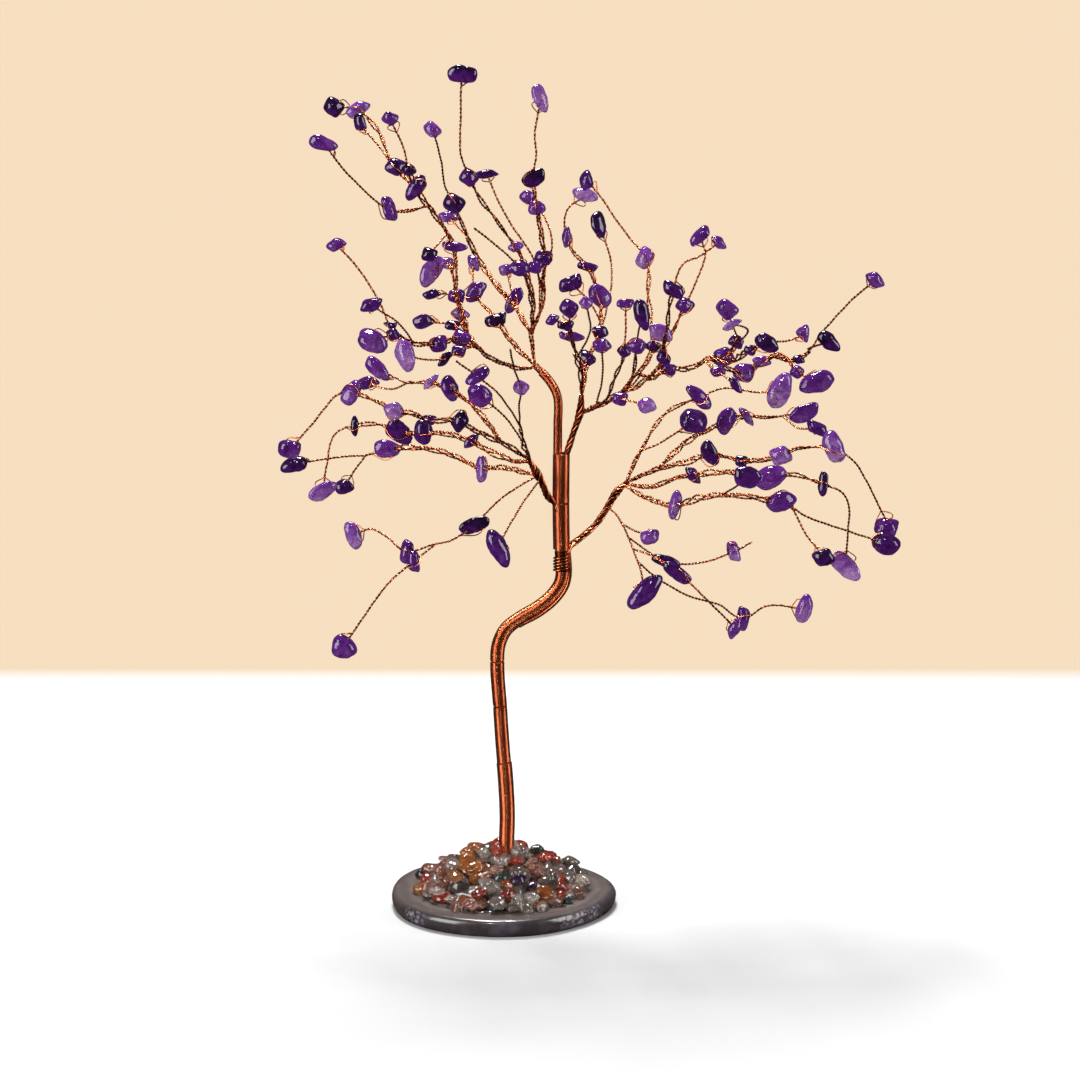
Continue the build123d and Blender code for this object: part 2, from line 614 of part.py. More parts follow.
# The heap's pebbles: tumbled stones of several kinds, laid in rings from the rim inwards and upwards, each
# bedded in the glue and against the stones laid before it.
pebble_kinds = (
    "clear_quartz", "smoky_quartz", "rose_quartz", "clear_quartz", "amber", "red_jasper", "clear_quartz",
    "green_aventurine", "smoky_quartz", "rose_quartz", "dark_amethyst", "clear_quartz", "smoky_quartz",
)
pebble_rings = 4
pebble_size_shares = (1.0, 0.82, 1.12, 0.9, 1.2, 0.78, 1.05)
pebble_height_share = 0.62
pebble_breadth_share = 0.84
pebble_lift_share = 0.15
pebble_tip_share = 0.55
pebble_rim_share = 0.25
pebble_outline_stride = 3
pebble_kind_strides = (5, 3)
chooser = Random(7)
pebbles = []
heap_groups = {kind: [] for kind in pebble_kinds}
stop = [agate_base.part, glue_bed.part, trunk_core, wrappings["foot_wrap"]]
for ring in range(pebble_rings):
    climb = ring / (pebble_rings - 1)
    radius = heap_width / 2 * (1 - climb * (1 - bed_top_share)) - pebble_width * pebble_rim_share
    height = slab_thickness + bed_height * climb
    around = ceil(2 * pi * radius / pebble_width)
    for number in range(around):
        turn = 2 * pi * (number + ring / 2) / around
        size = pebble_width * pebble_size_shares[(number + ring) % len(pebble_size_shares)]
        outward = Vector(cos(turn), sin(turn), 0)
        lean_out = outward * pebble_tip_share + Vector(0, 0, 1)
        twist = chooser.uniform(0, 2 * pi)
        tangent = Vector(-sin(turn), cos(turn), 0)
        slope_way = lean_out.cross(tangent).normalized()
        bed = Plane(
            origin=outward * radius + Vector(0, 0, height + size * pebble_lift_share),
            x_dir=tangent * cos(twist) + slope_way * sin(twist),
            z_dir=lean_out,
        )
        outlines = small_outline_shares if number % 2 else chip_outline_shares
        outline = outlines[(number * pebble_outline_stride + ring) % len(outlines)]
        with BuildPart() as pebble:
            with BuildSketch(bed):
                corners = [(x * size / 2, y * size / 2 * pebble_breadth_share) for x, y in outline]
                Polygon(*corners, align=None)
            extrude(amount=size * pebble_height_share / 2, both=True)
            top = pebble.faces().sort_by(Axis(origin=bed.origin, direction=bed.z_dir))[-1]
            chamfer(top.edges(), size * pebble_height_share * chip_ease_share)
            for neighbour in stop + pebbles:
                if boxes_meet(pebble.part, neighbour):
                    add(neighbour, mode=Mode.SUBTRACT)
        pebbles.append(keep_largest(pebble))
        kind_place = number * pebble_kind_strides[0] + ring * pebble_kind_strides[1]
        kind = pebble_kinds[kind_place % len(pebble_kinds)]
        heap_groups[kind].append(pebbles[-1])
for kind, group in heap_groups.items():
    stones = Compound(children=group)
    stones.label = f"heap_{kind}"
    export_step(stones, f"parts/heap_{kind}.step")
print(f"{len(pebbles)} pebbles in the heap")
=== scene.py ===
from math import cos, exp, pi, radians, sin, sqrt
from random import Random

import bmesh
import bpy
from mathutils import Matrix, Vector, noise
from mathutils.bvhtree import BVHTree


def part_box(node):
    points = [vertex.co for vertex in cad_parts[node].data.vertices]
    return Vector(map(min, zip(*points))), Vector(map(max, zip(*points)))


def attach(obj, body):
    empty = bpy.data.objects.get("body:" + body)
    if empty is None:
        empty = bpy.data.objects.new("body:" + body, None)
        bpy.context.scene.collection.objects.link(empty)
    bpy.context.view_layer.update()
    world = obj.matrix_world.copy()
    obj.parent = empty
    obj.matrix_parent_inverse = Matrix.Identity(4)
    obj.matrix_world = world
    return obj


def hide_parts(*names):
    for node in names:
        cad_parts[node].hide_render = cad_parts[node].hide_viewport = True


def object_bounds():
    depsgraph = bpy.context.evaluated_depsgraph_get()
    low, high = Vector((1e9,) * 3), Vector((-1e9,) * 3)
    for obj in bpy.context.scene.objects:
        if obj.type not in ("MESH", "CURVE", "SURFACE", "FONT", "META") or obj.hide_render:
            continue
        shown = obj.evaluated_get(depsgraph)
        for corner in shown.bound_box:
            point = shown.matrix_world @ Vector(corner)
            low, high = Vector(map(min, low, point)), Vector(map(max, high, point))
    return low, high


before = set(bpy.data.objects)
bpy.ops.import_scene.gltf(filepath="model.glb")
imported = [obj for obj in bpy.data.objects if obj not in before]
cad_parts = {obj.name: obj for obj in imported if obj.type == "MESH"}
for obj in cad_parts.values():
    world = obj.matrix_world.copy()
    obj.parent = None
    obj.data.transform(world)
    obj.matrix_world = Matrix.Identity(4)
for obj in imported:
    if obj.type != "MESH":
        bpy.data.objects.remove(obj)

cad_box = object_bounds()

# The setting: a plain pale floor that turns warm cream behind the tree and far from it, soft lamps all
# round, and a camera that looks down a little on the tree from the front. Places in the picture are
# columns and rows of its 1080 square.
view_tilt = radians(12.0)
view_distance = 1.2
view_lens = 116.1
sensor = 36.0
picture_px = 1080
aim = Vector((0.0134, 0.0, 0.1311))
view_ahead = Vector((0.0, cos(view_tilt), -sin(view_tilt)))
view_up = Vector((0.0, sin(view_tilt), cos(view_tilt)))
camera_data = bpy.data.cameras.new("studio_camera")
camera_data.lens = view_lens
camera_data.sensor_width = sensor
camera = bpy.data.objects.new("studio_camera", camera_data)
camera.location = aim - view_ahead * view_distance
camera.rotation_euler = (pi / 2 - view_tilt, 0.0, 0.0)
bpy.context.scene.collection.objects.link(camera)
bpy.context.scene.camera = camera
bpy.context.scene.view_settings.view_transform = "Standard"


class Term:
    """A node's socket, on which sums can be written."""

    def __init__(self, socket):
        self.socket = socket

    def math(self, operation, first, second=None):
        tree = self.socket.id_data
        made = tree.nodes.new("ShaderNodeMath")
        made.operation = operation
        for place, value in enumerate((first, second)):
            if isinstance(value, Term):
                tree.links.new(value.socket, made.inputs[place])
            elif value is not None:
                made.inputs[place].default_value = value
        return Term(made.outputs[0])

    def __add__(self, other):
        return self.math("ADD", self, other)

    def __sub__(self, other):
        return self.math("SUBTRACT", self, other)

    def __mul__(self, other):
        return self.math("MULTIPLY", self, other)

    def __truediv__(self, other):
        return self.math("DIVIDE", self, other)

    def __rsub__(self, other):
        return self.math("SUBTRACT", other, self)

    def __rtruediv__(self, other):
        return self.math("DIVIDE", other, self)

    __radd__ = __add__
    __rmul__ = __mul__

    def clip(self):
        """The same value, kept between 0 and 1."""
        return self.math("MINIMUM", self.math("MAXIMUM", self, 0.0), 1.0)


class Finish:
    """A material, or the world, whose nodes are added one by one."""

    def __init__(self, name, owner=None):
        self.owner = owner or bpy.data.materials.new(name)
        self.owner.use_nodes = True
        self.tree = self.owner.node_tree
        self.tree.nodes.clear()

    def node(self, kind, settings=None, sockets=None, output=0):
        """Adds any node: its settings first, then its sockets' values and links. Gives one output."""
        made = self.tree.nodes.new("ShaderNode" + kind)
        for name, value in (settings or {}).items():
            if name == "stops":
                ramp = made.color_ramp
                while len(ramp.elements) < len(value):
                    ramp.elements.new(0.5)
                for element, (position, colour) in zip(ramp.elements, value):
                    element.position = position
                    element.color = (*colour, 1.0)
            else:
                setattr(made, name, value)
        for name, value in (sockets or {}).items():
            if isinstance(value, Term):
                self.tree.links.new(value.socket, made.inputs[name])
            else:
                made.inputs[name].default_value = value
        return Term(made.outputs[output]) if made.outputs else None

    def blend(self, share, first, second):
        """A colour between two, by a share."""
        return self.node("Mix", {"data_type": "RGBA"}, {0: share, 6: first, 7: second}, 2)


floor_radius = 9.0
floor_near = (0.52, 0.52, 0.525, 1.0)
floor_far = (0.93, 0.74, 0.53, 1.0)
# Glossy rays see the floor in this near-black colour instead of its own: painted dark reflection.
floor_mirrored = (0.028, 0.022, 0.018, 1.0)
fade_start = 0.315
fade_width = 0.025
round_start = 0.75
round_width = 0.5
floor_mesh = bpy.data.meshes.new("floor")
shape = bmesh.new()
bmesh.ops.create_circle(shape, cap_ends=True, segments=96, radius=floor_radius)
shape.to_mesh(floor_mesh)
shape.free()
floor = bpy.data.objects.new("floor", floor_mesh)
bpy.context.scene.collection.objects.link(floor)
paper = Finish("floor_paper")
spot = paper.node("TexCoord", output="Object")
reach = paper.node("VectorMath", {"operation": "LENGTH"}, {0: spot}, "Value")
behind = paper.node("SeparateXYZ", None, {0: spot}, "Y")
farther = ((behind - fade_start) / fade_width).clip()
outwards = ((reach - round_start) / round_width).clip()
fade = (farther + outwards).clip()
camera_ray = paper.node("LightPath", output="Is Camera Ray")
glossy_ray = paper.node("LightPath", output="Is Glossy Ray")
clear_ray = paper.node("LightPath", output="Is Transmission Ray")
seen = (camera_ray + clear_ray).clip()
# For glossy rays the floor takes floor_mirrored: painted dark reflection.
matte = paper.node("BsdfDiffuse", None, {"Color": paper.blend(glossy_ray, floor_near, floor_mirrored)})
cream = paper.node("Emission", None, {"Color": floor_far, "Strength": 1.0})
surface = paper.node("MixShader", None, {0: fade * seen, 1: matte, 2: cream})
paper.node("OutputMaterial", None, {"Surface": surface})
floor_mesh.materials.append(paper.owner)

room_light = (0.160, 0.158, 0.155, 1.0)
# Glossy rays see the room in this darker colour than it lights with: painted dark reflection.
room_mirrored = (0.075, 0.072, 0.070, 1.0)
room = bpy.data.worlds.new("studio_room")
bpy.context.scene.world = room
air = Finish("studio_air", room)
camera_ray = air.node("LightPath", output="Is Camera Ray")
clear_ray = air.node("LightPath", output="Is Transmission Ray")
seen = (camera_ray + clear_ray).clip()
glossy_ray = air.node("LightPath", output="Is Glossy Ray")
# For glossy rays the room takes room_mirrored: painted dark reflection.
room_colour = air.blend(glossy_ray, room_light, room_mirrored)
soft = air.node("Background", None, {"Color": room_colour, "Strength": 1.0})
far = air.node("Background", None, {"Color": floor_far, "Strength": 1.0})
air.node("OutputWorld", None, {"Surface": air.node("MixShader", None, {0: seen, 1: soft, 2: far})})

# Each lamp's place, its width and height, and its power in watts.
lamps = {
    "key_lamp": ((-0.08, 0.46, 1.30), (0.34, 0.34), 30.0),
    "left_softbox": ((-1.30, -0.85, 0.60), (0.90, 1.30), 24.0),
    "right_softbox": ((1.40, -0.45, 0.60), (0.65, 1.20), 14.0),
    "spark_lamp": ((-0.25, -0.95, 1.30), (0.12, 0.12), 3.0),
}
for name, (place, size, power) in lamps.items():
    lamp = bpy.data.lights.new(name, "AREA")
    lamp.shape = "RECTANGLE"
    lamp.size, lamp.size_y = size
    lamp.energy = power
    lamp_object = bpy.data.objects.new(name, lamp)
    lamp_object.location = place
    lamp_object.rotation_euler = (Vector(place) - aim).to_track_quat("Z", "Y").to_euler()
    bpy.context.scene.collection.objects.link(lamp_object)


# The base is a slice of banded agate, cut and polished flat, with its rim ground round and drawn in
# below. Two stretches of the rim keep the rough crystals of the natural stone.
base_low, base_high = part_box("agate_base")
base_thickness = base_high.z - base_low.z
half_width = (base_high.x - base_low.x) / 2.03
half_depth = (base_high.y - base_low.y) / 2.01
rim_segments = 320
rim_swells = (0.012, 0.008)
rim_wave = 0.003
rim_profile = (
    (0.965, 0.0), (0.972, 0.03), (0.982, 0.12), (0.992, 0.28), (0.999, 0.45), (1.0, 0.58), (0.998, 0.70),
    (0.993, 0.80), (0.985, 0.88), (0.975, 0.94), (0.962, 0.98), (0.945, 1.0), (0.90, 1.0), (0.80, 1.0),
)
druzy_turns = ((-0.75, 0.30), (-2.45, 0.16))
druzy_lifts = (0.15, 0.9)
druzy_grain = 0.018
heart_reach = 0.0385
heart_wander = 0.004
heart_fade = 0.003
heart_colours = (
    (0.0, (0.045, 0.031, 0.027)), (0.45, (0.066, 0.048, 0.042)), (0.75, (0.090, 0.068, 0.061)),
    (1.0, (0.125, 0.098, 0.092)),
)
skin_colours = ((0.0, (0.018, 0.013, 0.013)), (0.5, (0.036, 0.027, 0.030)), (1.0, (0.130, 0.112, 0.145)))
sugar_colour = (0.30, 0.27, 0.33, 1.0)


def new_piece(name, mesh, material=None):
    """Puts a mesh in the scene as a piece that rides on the tree's one body."""
    if material:
        mesh.materials.clear()
        mesh.materials.append(material)
    mesh.polygons.foreach_set("use_smooth", [True] * len(mesh.polygons))
    piece = bpy.data.objects.new(name, mesh)
    bpy.context.scene.collection.objects.link(piece)
    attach(piece, "root")
    return piece


def rim_reach(turn):
    """The uneven outline of the slice, as a share of its half width."""
    return 1.0 + rim_swells[0] * sin(3 * turn + 1) + rim_swells[1] * cos(5 * turn)


def next_ring(shape, loop):
    """Extrudes a loop of edges where it stands, and gives the new loop."""
    made = bmesh.ops.extrude_edge_only(shape, edges=loop)["geom"]
    return [item for item in made if isinstance(item, bmesh.types.BMEdge)]


def ring_corners(loop):
    """The corners of a loop of edges, each with its turn about the middle."""
    corners = {end for edge in loop for end in edge.verts}
    return [(corner, Vector(corner.co.xy).angle_signed(Vector((1.0, 0.0)))) for corner in corners]


shape = bmesh.new()
bmesh.ops.create_circle(shape, cap_ends=True, segments=rim_segments, radius=1.0)
bmesh.ops.reverse_faces(shape, faces=shape.faces)
druzy_layer = shape.verts.layers.float.new("druzy")
loop = list(shape.edges)
for step, (share, lift) in enumerate(rim_profile):
    if step:
        loop = next_ring(shape, loop)
    for corner, turn in ring_corners(loop):
        rough = sum(max(0.0, 1 - abs(turn - middle) / half) for middle, half in druzy_turns)
        corner[druzy_layer] = min(1.0, 2 * rough) * (druzy_lifts[0] < lift < druzy_lifts[1])
        grain = noise.noise(Vector((turn * 40, lift * 9, 3.0))) * druzy_grain * corner[druzy_layer]
        wave = rim_wave * noise.noise(Vector((turn * 7, lift * 2, 0.0)))
        reach = rim_reach(turn) * share + grain + wave
        corner.co.x = half_width * reach * cos(turn)
        corner.co.y = half_depth * reach * sin(turn)
        corner.co.z = base_low.z + base_thickness * lift
bmesh.ops.holes_fill(shape, edges=loop, sides=0)
bmesh.ops.recalc_face_normals(shape, faces=shape.faces)
slab_mesh = bpy.data.meshes.new("agate_slice")
shape.to_mesh(slab_mesh)
shape.free()
agate = Finish("polished_agate")
spot = agate.node("TexCoord", output="Object")
wander = agate.node("TexNoise", None, {"Vector": spot, "Scale": 34.0, "Detail": 4.0})
flat = agate.node("Mapping", None, {"Vector": spot, "Scale": (1.0, 1.06, 0.25)})
from_middle = agate.node("VectorMath", {"operation": "LENGTH"}, {0: flat}, "Value")
bands = agate.node("TexWave", {"wave_type": "RINGS", "rings_direction": "SPHERICAL"}, {
    "Vector": flat, "Scale": 62.0, "Distortion": 5.0, "Detail": 3.0, "Detail Scale": 1.2}, "Fac")
cloud = agate.node("TexNoise", None, {"Vector": spot, "Scale": 90.0, "Detail": 8.0, "Roughness": 0.65})
outer = ((from_middle + wander * heart_wander - heart_reach) / heart_fade).clip()
heart = agate.node("ValToRGB", {"stops": heart_colours}, {"Fac": bands * 0.45 + cloud * 0.55})
skin = agate.node("ValToRGB", {"stops": skin_colours}, {"Fac": cloud})
crystals = agate.node("TexVoronoi", None, {"Vector": spot, "Scale": 620.0})
druzy = agate.node("Attribute", {"attribute_name": "druzy"}, None, "Fac")
relief = cloud + crystals * druzy * 9.0
bump = agate.node("Bump", None, {"Strength": 0.12, "Distance": 0.0005, "Height": relief})
ground = agate.blend(outer, heart, skin)
sugary = (druzy * (1.5 - crystals * 2.4) * 0.7).clip()
stone = agate.node("BsdfPrincipled", None, {
    "Base Color": agate.blend(sugary, ground, sugar_colour),
    "Roughness": 0.36 - outer * 0.20 + cloud * 0.12, "Coat Weight": outer * 0.5,
    "Coat Roughness": 0.05, "IOR": 1.54, "Normal": bump})
agate.node("OutputMaterial", None, {"Surface": stone})
slab = new_piece("agate_slice", slab_mesh, agate.owner)
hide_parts("agate_base")

# Clear glue was poured over the heap. It set as a dark wet core between the pebbles, and ran out round
# them in a thin puddle with a ragged outline.
puddle_low, puddle_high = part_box("glue_bed")
puddle_reach = (puddle_high.x - puddle_low.x) / 2 * 0.97
puddle_depth = 0.0005
puddle_segments = 240
puddle_profile = ((1.0, 0.0), (0.995, 0.6), (0.98, 0.92), (0.955, 1.0))
puddle_share = 0.90
broad_tongues = 0.10
small_tongues = 0.035
core_reach = puddle_reach * 0.74
core_rise = 0.80
core_lump = 0.08
core_cut = -0.05
glue_dark = (0.032, 0.021, 0.018, 1.0)
glue_light = (0.066, 0.046, 0.040, 1.0)
shape = bmesh.new()
bmesh.ops.create_circle(shape, cap_ends=True, segments=puddle_segments, radius=1.0)
loop = list(shape.edges)
for step, (share, lift) in enumerate(puddle_profile):
    if step:
        loop = next_ring(shape, loop)
    for corner, turn in ring_corners(loop):
        ragged = puddle_share
        ragged += broad_tongues * noise.noise(Vector((cos(turn) * 3.2, sin(turn) * 3.2, 7.0)))
        ragged += small_tongues * noise.noise(Vector((cos(turn) * 11, sin(turn) * 11, 2.0)))
        corner.co = Vector((cos(turn) * ragged, sin(turn) * ragged, 0)) * (puddle_reach * share)
        corner.co.z = puddle_low.z + puddle_depth * lift
bmesh.ops.holes_fill(shape, edges=loop, sides=0)
bmesh.ops.recalc_face_normals(shape, faces=shape.faces)
puddle_mesh = bpy.data.meshes.new("glue_puddle")
shape.to_mesh(puddle_mesh)
shape.free()
wet = Finish("wet_glue")
spot = wet.node("TexCoord", output="Object")
ripple = wet.node("TexNoise", None, {"Vector": spot, "Scale": 130.0, "Detail": 2.0})
bump = wet.node("Bump", None, {"Strength": 0.2, "Distance": 0.0006, "Height": ripple})
film = wet.node("BsdfPrincipled", None, {
    "Base Color": wet.blend(ripple, glue_dark, glue_light), "Roughness": 0.04 + ripple * 0.08,
    "Coat Weight": 1.0, "Coat Roughness": 0.02, "IOR": 1.48, "Normal": bump})
wet.node("OutputMaterial", None, {"Surface": film})
puddle = new_piece("glue_puddle", puddle_mesh, wet.owner)
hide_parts("glue_bed")
shape = bmesh.new()
bmesh.ops.create_uvsphere(shape, u_segments=64, v_segments=32, radius=1.0)
bmesh.ops.delete(shape, geom=[v for v in shape.verts if v.co.z < core_cut], context="VERTS")
bmesh.ops.holes_fill(shape, edges=[e for e in shape.edges if e.is_boundary], sides=0)
for corner in shape.verts:
    lump = 1 + core_lump * noise.noise(corner.co * 6)
    height = max(0.0, corner.co.z) * (puddle_high.z - puddle_low.z) * lump * core_rise
    corner.co = Vector((corner.co.x * core_reach, corner.co.y * core_reach, 0)) * lump
    corner.co.z = puddle_low.z + height
bmesh.ops.recalc_face_normals(shape, faces=shape.faces)
core_mesh = bpy.data.meshes.new("glue_core")
shape.to_mesh(core_mesh)
shape.free()
core = new_piece("glue_core", core_mesh, wet.owner)

# The heap's pebbles are tumbled stones of seven kinds, round at every edge, bedded in the glue ring by
# ring, with small ones in the gaps. Each kind has a deep and a pale colour, and is more or less clear.
least_faces = 8
same_flat = 0.99
least_height = 1e-5
full_share = 1.06
pebble_hardness = 5.0
pebble_dent = 0.10
pebble_kinds = {
    "clear_quartz": ((0.20, 0.15, 0.13), (0.84, 0.78, 0.74), 0.70),
    "smoky_quartz": ((0.055, 0.038, 0.032), (0.36, 0.28, 0.24), 0.50),
    "rose_quartz": ((0.22, 0.060, 0.036), (0.76, 0.42, 0.34), 0.72),
    "amber": ((0.20, 0.036, 0.003), (0.80, 0.30, 0.045), 0.62),
    "red_jasper": ((0.085, 0.010, 0.006), (0.48, 0.045, 0.014), 0.30),
    "green_aventurine": ((0.005, 0.008, 0.007), (0.040, 0.062, 0.052), 0.10),
    "dark_amethyst": ((0.014, 0.004, 0.018), (0.10, 0.035, 0.12), 0.25),
}


def middle_of(one):
    """The middle of a mesh's corners."""
    return sum((corner.co for corner in one.verts), Vector()) / len(one.verts)


def extent(one):
    """A mesh's lowest and highest corner."""
    low = Vector(min(corner.co[axis] for corner in one.verts) for axis in range(3))
    high = Vector(max(corner.co[axis] for corner in one.verts) for axis in range(3))
    return low, high


def islands(node):
    """The separate solids of a CAD node, each as a mesh of its own."""
    whole = bmesh.new()
    whole.from_mesh(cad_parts[node].data)
    bmesh.ops.remove_doubles(whole, verts=whole.verts, dist=1e-7)
    left = set(whole.faces)
    found = []
    while left:
        reach = [left.pop()]
        group = set(reach)
        while reach:
            for edge in reach.pop().edges:
                beside = [face for face in edge.link_faces if face in left and len(edge.link_faces) == 2]
                left.difference_update(beside)
                group.update(beside)
                reach += beside
        if len(group) >= least_faces:
            corners = {corner.index for face in group for corner in face.verts}
            one = whole.copy()
            bmesh.ops.delete(one, geom=[v for v in one.verts if v.index not in corners], context="VERTS")
            found.append(one)
    whole.free()
    found.sort(key=lambda one: tuple(round(value, 5) for value in middle_of(one)))
    return found


def tumbled(one, hardness, dent, seed):
    """A stone's mesh as the tumbler leaves it: its flats run together, softly where the hardness is low.
    It keeps its proportions and fills out a little, but not past the size of the tree."""
    hull = bmesh.ops.convex_hull(one, input=one.verts)["geom"]
    middle = middle_of(one)
    flats = []
    for face in [item for item in hull if isinstance(item, bmesh.types.BMFace)]:
        height = face.normal.dot(face.verts[0].co - middle)
        outward = face.normal * (1 if height > 0 else -1)
        area = face.calc_area()
        same = [flat for flat in flats if flat[0].dot(outward) > same_flat]
        if same:
            same[0][2] += area
        elif abs(height) > least_height:
            flats.append([outward, abs(height), area])
    thin_way = max(flats, key=lambda flat: flat[2])[0]
    corners = [item.co - middle for item in hull if isinstance(item, bmesh.types.BMVert)]
    farthest = max(corners, key=lambda corner: (corner - thin_way * corner.dot(thin_way)).length)
    long_way = (farthest - thin_way * farthest.dot(thin_way)).normalized()
    ways = (long_way, thin_way.cross(long_way), thin_way)
    spans = []
    for way in ways:
        reach = [corner.dot(way) for corner in corners]
        spans.append((min(reach) * full_share, max(reach) * full_share))
    shift = Vector((seed * 3.1, seed * 1.7, seed * 0.9))
    stone = bmesh.new()
    bmesh.ops.create_icosphere(stone, subdivisions=4, radius=1.0)
    for corner in stone.verts:
        ahead = Vector()
        for way, (least, most), share in zip(ways, spans, corner.co):
            ahead += way * (share * (most - least))
        ahead.normalize()
        pressed = sum((max(0.0, ahead.dot(flat[0])) / flat[1]) ** hardness for flat in flats)
        worn = pressed ** (-1 / hardness)
        wave = noise.noise(ahead * 1.1 + shift) + 0.35 * noise.noise(ahead * 3.2 + shift)
        corner.co = ahead * (worn * (1 + dent * wave))
    for way, (least, most) in zip(ways, spans):
        reach = [corner.co.dot(way) for corner in stone.verts]
        for corner, spot in zip(stone.verts, reach):
            grown = (spot - min(reach)) * (most - least) / (max(reach) - min(reach)) + least
            corner.co += way * (grown - spot)
    bmesh.ops.translate(stone, verts=stone.verts, vec=middle)
    worn_low, worn_high = extent(stone)
    inward = Vector()
    for axis in range(3):
        under = max(0.0, cad_box[0][axis] - worn_low[axis])
        inward[axis] = under - max(0.0, worn_high[axis] - cad_box[1][axis])
    bmesh.ops.translate(stone, verts=stone.verts, vec=inward)
    return stone


def joined(name, stones, tones):
    """One mesh of many stones. Attributes give a stone's tone, and how far down in it a corner lies,
    which paints light shining through it.
    """
    together = bmesh.new()
    tone_layer = together.verts.layers.float.new("tone")
    depth_layer = together.verts.layers.float.new("depth")
    for stone, tone in zip(stones, tones):
        low, high = extent(stone)
        piece = bpy.data.meshes.new("one_stone")
        stone.to_mesh(piece)
        stone.free()
        before = len(together.verts)
        together.from_mesh(piece)
        bpy.data.meshes.remove(piece)
        together.verts.ensure_lookup_table()
        for corner in together.verts[before:]:
            corner[tone_layer] = tone
            corner[depth_layer] = (high.z - corner.co.z) / (high.z - low.z)
    mesh = bpy.data.meshes.new(name)
    together.to_mesh(mesh)
    together.free()
    return mesh


def picture_spot(point):
    """The column and row at which the camera sees a point."""
    ray = point - camera.location
    per_metre = picture_px * view_lens / sensor / ray.dot(view_ahead)
    return picture_px / 2 + ray.x * per_metre, picture_px / 2 - ray.dot(view_up) * per_metre


def stone_finish(name, deep, pale, clear):
    """A polished stone: clouded between two colours, part clear, part solid."""
    made = Finish(name)
    spot = made.node("TexCoord", output="Object")
    tone = made.node("Attribute", {"attribute_name": "tone"}, None, "Fac")
    depth = made.node("Attribute", {"attribute_name": "depth"}, None, "Fac")
    veil = made.node("TexNoise", None, {
        "Vector": spot, "Scale": 300.0, "Detail": 4.0, "Distortion": 1.2})
    fine = made.node("TexNoise", None, {"Vector": spot, "Scale": 1500.0, "Detail": 3.0})
    # Paler towards each stone's bottom: painted light shining through the stone.
    paleness = (tone * 0.7 + veil * 0.8 + depth * 0.3 - 0.45).clip()
    colour = made.blend(paleness, (*deep, 1.0), (*pale, 1.0))
    bump = made.node("Bump", None, {"Strength": 0.05, "Distance": 0.0002, "Height": fine})
    solid = made.node("BsdfPrincipled", None, {
        "Base Color": colour, "Roughness": 0.07 + veil * 0.12, "Coat Weight": 0.7,
        "Coat Roughness": 0.03, "IOR": 1.54, "Normal": bump})
    glassy = made.node("BsdfPrincipled", None, {
        "Base Color": made.blend(0.35, colour, (1.0, 1.0, 1.0, 1.0)),
        "Roughness": 0.03 + veil * 0.05, "Transmission Weight": 1.0, "IOR": 1.46, "Normal": bump})
    share = (veil * 0.9 - 0.5 + clear + tone * 0.2).clip()
    surface = made.node("MixShader", None, {0: share, 1: solid, 2: glassy})
    made.node("OutputMaterial", None, {"Surface": surface})
    return made.owner


chooser = Random(11)
pebble_finishes = {kind: stone_finish(kind, *look) for kind, look in pebble_kinds.items()}
heap_surface = bmesh.new()
heap_surface.from_mesh(core_mesh)
for kind in pebble_kinds:
    node = "heap_" + kind
    stones = []
    for number, one in enumerate(islands(node)):
        stones.append(tumbled(one, pebble_hardness, pebble_dent, number))
        one.free()
    mesh = joined(node + "_pebbles", stones, [chooser.random() for _ in stones])
    heap_surface.from_mesh(mesh)
    piece = new_piece(node + "_pebbles", mesh, pebble_finishes[kind])
    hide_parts(node)

# The small stones are dropped on the heap one by one, clear of the trunk's foot and of each other. Where
# the photo shows a stone's kind plainly, the one that lands there gets it.
small_count = 120
small_tries = 9000
small_sizes = (0.0040, 0.0068)
small_widths = (0.62, 0.95)
small_heights = (0.55, 0.85)
small_lean = 0.5
small_lump = 0.42
small_rise = 0.18
small_spacing = 0.0042
small_shares = (0.02, 0.86)
foot_clearance = 0.0048
drop_height = 0.05
kind_match_px = (8, 6)
small_kinds = (
    "clear_quartz", "smoky_quartz", "clear_quartz", "rose_quartz", "smoky_quartz", "clear_quartz",
    "amber", "red_jasper", "rose_quartz", "clear_quartz", "green_aventurine", "smoky_quartz",
    "clear_quartz", "red_jasper",
)
placed_kinds_px = {
    (422, 876): "green_aventurine", (433, 872): "rose_quartz", (445, 861): "rose_quartz",
    (463, 850): "smoky_quartz", (458, 857): "green_aventurine", (473, 855): "amber",
    (470, 866): "amber", (464, 879): "red_jasper", (478, 873): "amber", (490, 865): "red_jasper",
    (495, 851): "red_jasper", (510, 851): "clear_quartz", (510, 865): "red_jasper",
    (495, 880): "clear_quartz", (484, 896): "red_jasper", (439, 889): "clear_quartz",
    (524, 885): "dark_amethyst", (530, 850): "green_aventurine", (538, 858): "green_aventurine",
    (527, 861): "rose_quartz", (549, 864): "red_jasper", (566, 868): "smoky_quartz",
    (540, 893): "amber", (559, 882): "smoky_quartz", (579, 880): "clear_quartz",
    (453, 891): "rose_quartz", (507, 891): "amber",
}
surface = BVHTree.FromBMesh(heap_surface)
heap_surface.free()
small_shapes = {kind: [] for kind in pebble_kinds}
laid = []
tries = 0
foot_middle = sum(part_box("foot_wrap"), Vector()) / 2
